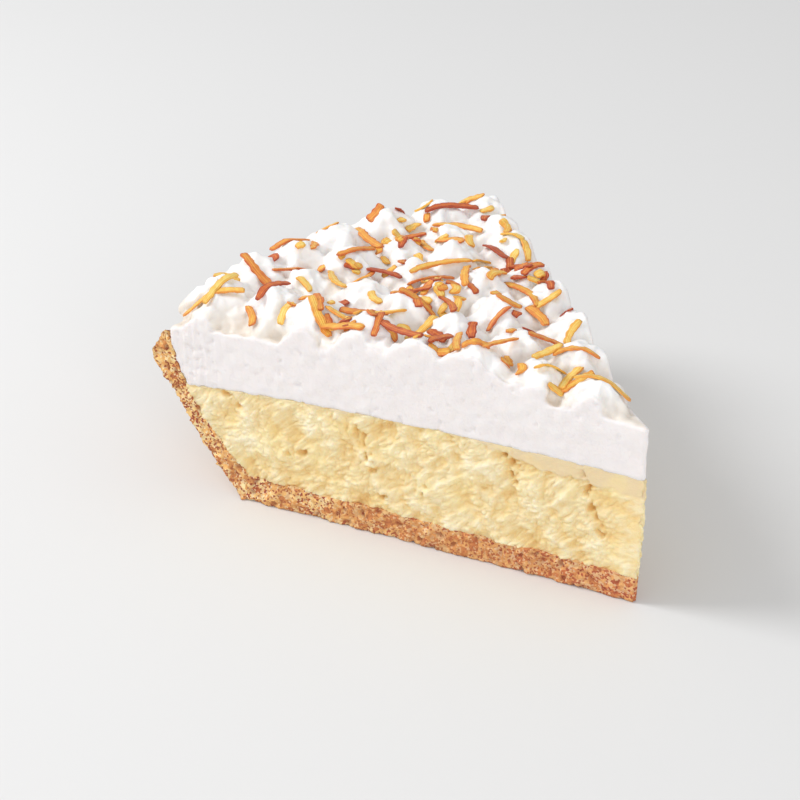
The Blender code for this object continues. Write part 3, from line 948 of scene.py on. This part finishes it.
class Recipe:
    """A material and its nodes."""

    def __init__(self, name):
        self.material = bpy.data.materials.new(name)
        self.material.use_nodes = True
        self.tree = self.material.node_tree
        self.shader = self.tree.nodes["Principled BSDF"]

    def node(self, kind, settings=None, **inputs):
        made = self.tree.nodes.new("ShaderNode" + kind)
        for name, value in (settings or {}).items():
            setattr(made, name, value)
        for name, value in inputs.items():
            self.put(made, name, value)
        return made

    def put(self, node, name, value):
        """Sets or joins an input, by its name or, as in i6, by its number."""
        numbered = name[0] == "i" and name[1:].isdigit()
        socket = node.inputs[int(name[1:]) if numbered else name]
        if isinstance(value, bpy.types.NodeSocket):
            self.tree.links.new(value, socket)
        else:
            socket.default_value = value

    def place(self):
        return self.node("TexCoord").outputs["Object"]

    def noise(self, scale, detail, rough=0.5):
        """Noise with so many waves to the metre."""
        inputs = {"Scale": scale, "Detail": detail, "Roughness": rough, "Vector": self.place()}
        return self.node("TexNoise", None, **inputs).outputs["Fac"]

    def cells(self, scale, output="Color"):
        """Voronoi cells, so many to the metre."""
        return self.node("TexVoronoi", None, Scale=scale, Vector=self.place()).outputs[output]

    def attribute(self, name):
        return self.node("Attribute", {"attribute_name": name}).outputs["Fac"]

    def ramp(self, factor, stops):
        made = self.node("ValToRGB")
        elements = made.color_ramp.elements
        while len(elements) < len(stops):
            elements.new(0.5)
        for element, (at, tone) in zip(elements, stops):
            element.position = at
            element.color = tone
        self.put(made, "Fac", factor)
        return made.outputs["Color"]

    def mask(self, factor, low, high):
        """0 where the factor is below one value, 1 where it is above the other."""
        return self.ramp(factor, ((low, (0, 0, 0, 1)), (high, (1, 1, 1, 1))))

    def math(self, operation, a, b=0.0, clamped=False):
        made = self.node("Math", {"operation": operation, "use_clamp": clamped}, i0=a, i1=b)
        return made.outputs["Value"]

    def blend(self, factor, a, b):
        return self.node("Mix", {"data_type": "RGBA"}, i0=factor, i6=a, i7=b).outputs[2]

    def over(self, tone, amount, share, other):
        """Lays another colour over a tone, by a share of an amount."""
        return self.blend(self.math("MULTIPLY", amount, share), tone, other)

    def bump(self, height, distance, strength, under=None):
        made = self.node("Bump", None, Height=height, Distance=distance, Strength=strength)
        if under:
            self.put(made, "Normal", under)
        return made.outputs["Normal"]

    def finish(self, **inputs):
        for name, value in inputs.items():
            self.put(self.shader, name.replace("_", " "), value)
        return self.material


print("a warm white in linear light:", [round(v, 3) for v in colour(243, 240, 239)])

# %% [markdown]
# Baked crumb is a mosaic. Every grain browned a little differently, from pale butter through biscuit
# to specks of dark caramel, and shade is painted into the creases and pits between grains, darker the
# deeper they lie. Voronoi cells a little over a millimetre wide give each grain one colour, and
# smaller ones pick out dark and pale specks. The floor of the crust is a little redder towards the
# tip.

# %% Crumb
GRAIN_CELLS = 820
SPECK_CELLS = 2200
DARK_SPECKS = 0.79  # a speck is dark above this value of its cell
PALE_SPECKS = 0.16  # and pale below this one


def crumb_material():
    r = Recipe("crumb")
    grain = r.node("SeparateColor", None, Color=r.cells(GRAIN_CELLS)).outputs["Red"]
    fine = r.node("SeparateColor", None, Color=r.cells(SPECK_CELLS)).outputs["Green"]
    tone = r.ramp(
        grain,
        (
            (0.0, colour(198, 110, 64)),
            (0.3, colour(244, 184, 110)),
            (0.65, colour(255, 212, 136)),
            (1.0, colour(255, 238, 180)),
        ),
    )
    tone = r.blend(r.math("GREATER_THAN", fine, DARK_SPECKS), tone, colour(156, 72, 54))
    tone = r.blend(r.math("LESS_THAN", fine, PALE_SPECKS), tone, colour(255, 232, 184))
    tone = r.over(tone, r.mask(r.noise(120, 3), 0.42, 0.62), 0.45, colour(224, 164, 94))
    tipwards = r.node("SeparateXYZ", None, Vector=r.place()).outputs["X"]
    redder = r.math("ADD", r.math("MULTIPLY", tipwards, 9.0), 0.35, clamped=True)
    tone = r.over(tone, redder, 0.5, colour(208, 112, 72))
    tone = r.over(tone, r.attribute("tint"), 0.3, colour(222, 154, 72))
    # Painted shade: the creases and pits between grains are darkened by how deep they lie.
    hollow_shade = r.math("MULTIPLY", r.attribute("hollow_shade"), 1.6, clamped=True)
    tone = r.over(tone, hollow_shade, 0.66, colour(146, 68, 48))
    relief = r.bump(r.noise(2600, 3, 0.6), 0.0002, 0.6)
    relief = r.bump(r.cells(1900, "Distance"), 0.0003, 0.5, under=relief)
    return r.finish(Base_Color=tone, Roughness=0.8, Normal=relief)


crust.data.materials.append(crumb_material())
print("crumb on", crust.name)

# %% [markdown]
# Custard is pale egg yellow. Light passes a few millimetres into it, so its crests glow almost cream
# and its hollows turn golden. That glow and shade are painted into the colour: the depth that each
# point kept, with some random mottling, drives a painted highlight on the crests and painted shade in
# the hollows and cracks. The skin under the cream is a flatter tan, and a few patches, spread by
# noise, are a fuller yellow.

# %% Custard
def custard_material():
    r = Recipe("custard")
    mottled = r.math("SUBTRACT", r.math("MULTIPLY", r.noise(420, 4, 0.6), 0.8), 0.42)
    # Painted highlight and shade: depth turns crests almost cream and hollows and cracks golden, mixed
    # with real random mottling.
    depth = r.math("ADD", r.math("MULTIPLY", r.attribute("hollow_shade"), 0.36), mottled)
    depth = r.math("ADD", depth, 0.3, clamped=True)
    tone = r.ramp(
        depth,
        (
            (0.0, colour(251, 240, 210)),
            (0.3, colour(243, 225, 179)),
            (0.6, colour(238, 208, 145)),
            (1.0, colour(224, 174, 98)),
        ),
    )
    tone = r.over(tone, r.attribute("tint"), 0.8, colour(231, 207, 165))
    # Patches of a fuller yellow, spread by noise.
    tone = r.over(tone, r.mask(r.noise(150, 2), 0.5, 0.66), 0.28, colour(252, 230, 162))
    relief = r.bump(r.noise(1700, 4, 0.7), 0.00035, 0.6)
    return r.finish(
        Base_Color=tone,
        Roughness=0.55,
        Normal=relief,
        Subsurface_Weight=0.2,
        Subsurface_Radius=(1.0, 0.6, 0.25),
        Subsurface_Scale=0.0015,
    )


custard.data.materials.append(custard_material())
print("custard on", custard.name)

# %% [markdown]
# Whipped cream is nearly white and lets light in deeper than anything else here. Its valleys are
# given a painted warm shade, beige and not grey, that fades out a few millimetres above the layer's
# top. The knife's face is a touch pinker. Fine bubbles show only on that face, while the peaks are
# satin smooth.

# %% Cream
# Painted shade: the cream's valleys are tinted a warm beige, fading out by this height.
VALLEY_SHADE_ENDS = CREAM_TOP + 5 * MM  # the height where the warm tone of the valleys has gone


def cream_material():
    r = Recipe("cream")
    cut = r.attribute("cut_face")
    height = r.node("SeparateXYZ", None, Vector=r.place()).outputs["Z"]
    span = {"From Min": VALLEY_SHADE_ENDS, "From Max": CREAM_TOP}
    valley_shade = r.node("MapRange", None, Value=height, **span).outputs["Result"]
    # Painted shade: beige laid over the white of the peaks, most at the layer's top and less higher
    # up.
    peaks = r.over(colour(247, 246, 245), valley_shade, 0.9, colour(228, 218, 205))
    face = r.blend(r.noise(90, 3), colour(236, 230, 229), colour(242, 237, 236))
    tone = r.blend(cut, peaks, face)
    bubbles = r.mask(r.noise(2200, 4, 0.7), 0.3, 0.5)
    relief = r.bump(bubbles, 0.00012, r.math("MULTIPLY", cut, 0.5))
    return r.finish(
        Base_Color=tone,
        Roughness=0.42,
        Normal=relief,
        Subsurface_Weight=0.35,
        Subsurface_Radius=(1.0, 0.85, 0.7),
        Subsurface_Scale=0.0015,
    )


cream.data.materials.append(cream_material())
print("cream on", cream.name)

# %% [markdown]
# Toasting turns coconut from pale gold through orange to a deep red brown, first at the edges and the
# ends, where the strip is thinnest. The toast and edge numbers of each point choose the colour, and
# spots and fibres along the strip break it up.

# %% Toasted coconut
STREAKS = 9.0
FIBRES = 14.0


def coconut_material():
    r = Recipe("toasted_coconut")
    spots = r.math("SUBTRACT", r.math("MULTIPLY", r.noise(520, 4, 0.65), 0.7), 0.4)
    streaks = r.math("SINE", r.math("MULTIPLY", r.attribute("fibre"), STREAKS))
    browned = r.math("ADD", r.attribute("toast"), spots)
    browned = r.math("ADD", browned, r.math("MULTIPLY", streaks, 0.07))
    at_edge = r.math("MULTIPLY", r.attribute("edge"), 0.36)
    browned = r.math("ADD", browned, at_edge, clamped=True)
    tone = r.ramp(
        browned,
        (
            (0.0, colour(252, 220, 128)),
            (0.25, colour(246, 192, 84)),
            (0.5, colour(234, 154, 64)),
            (0.75, colour(212, 110, 50)),
            (1.0, colour(172, 70, 38)),
        ),
    )
    fibres = r.math("SINE", r.math("MULTIPLY", r.attribute("fibre"), FIBRES))
    relief = r.bump(fibres, 0.00008, 0.6)
    relief = r.bump(r.noise(1600, 3, 0.6), 0.0002, 0.5, under=relief)
    return r.finish(
        Base_Color=tone,
        Roughness=0.5,
        Normal=relief,
        Subsurface_Weight=0.12,
        Subsurface_Radius=(1.0, 0.5, 0.2),
        Subsurface_Scale=0.001,
    )


coconut.data.materials.append(coconut_material())
print("toasted coconut on", coconut.name)

# %% [markdown]
# Each new piece now takes the place of its solid. The coconut is part of the topping's solid, so both
# the cream and the coconut stand for it.

# %% Hand the pieces to the frame
for piece, node, slot in (
    (crust, "crumb_crust", "crumb"),
    (custard, "custard", "custard"),
    (cream, "whipped_topping", "cream"),
    (coconut, "whipped_topping", "cream"),
):
    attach(piece, "root")
    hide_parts(node)
    print(piece.name, "stands for", node)

# %% [markdown]
# The slice was photographed on a plain pale ground under soft light from all round, a little stronger
# from the upper left. A wide matt floor and an even pale sky give that. The camera looks down from
# the side of the near cut face, at the angles that the photograph's own perspective gives.

# %% Floor, light and camera
CAMERA_TURN = math.radians(50.96)
CAMERA_PITCH = math.radians(28.73)
TIP_IN_VIEW = Vector((50.09, -43.06, 468.53)) * MM  # the tip from the camera: right, up, away
LENS = 99
SKY_STRENGTH = 0.66
FLOOR_SIZE = 6
FLOOR_GAP = 0.0002  # keeps the crust's flat underside and the floor apart

bpy.ops.mesh.primitive_plane_add(size=FLOOR_SIZE, location=(0, 0, -FLOOR_GAP))
floor = bpy.context.object
floor.name = "floor"
plain = Recipe("floor").finish(Base_Color=colour(224, 224, 224), Roughness=0.9)
floor.data.materials.append(plain)
floor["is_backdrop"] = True

right = Vector((math.cos(CAMERA_TURN), math.sin(CAMERA_TURN), 0))
level = Vector((-right.y, right.x, 0))
ahead = level * math.cos(CAMERA_PITCH) - Vector((0, 0, math.sin(CAMERA_PITCH)))
above = level * math.sin(CAMERA_PITCH) + Vector((0, 0, math.cos(CAMERA_PITCH)))
camera = bpy.data.objects.new("camera", bpy.data.cameras.new("camera"))
camera.data.lens = LENS
camera.data.sensor_width = 36
camera.data.clip_start = 0.01
turn = Matrix((right, above, -ahead)).transposed()
eye = MIDDLE - right * TIP_IN_VIEW.x - above * TIP_IN_VIEW.y - ahead * TIP_IN_VIEW.z
camera.matrix_world = Matrix.Translation(eye) @ turn.to_4x4()
bpy.context.scene.collection.objects.link(camera)
bpy.context.scene.camera = camera

sky = bpy.data.worlds.new("sky")
sky.use_nodes = True
background = sky.node_tree.nodes["Background"]
background.inputs["Color"].default_value = (1, 1, 1, 1)
background.inputs["Strength"].default_value = SKY_STRENGTH
bpy.context.scene.world = sky
bpy.context.scene.view_settings.view_transform = "Standard"


def soft_light(name, offset, size, watts):
    lamp = bpy.data.lights.new(name, "AREA")
    lamp.shape = "DISK"
    lamp.size = size
    lamp.energy = watts
    lit = bpy.data.objects.new(name, lamp)
    bpy.context.scene.collection.objects.link(lit)
    lit.location = offset
    lit.rotation_euler = (-offset).to_track_quat("-Z", "Y").to_euler()


soft_light("key", -0.65 * right + 0.1 * level + Vector((0, 0, 0.62)), 0.4, 4.4)
soft_light("fill", 0.2 * right - 0.9 * level + Vector((0, 0, 0.35)), 0.6, 2.6)
print("camera at", [round(v, 3) for v in eye])

# %% Measure the sizes and finish
boxes = {"cad": solids_box, "visual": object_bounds()}
{name: [list(corner) for corner in box] for name, box in boxes.items()}
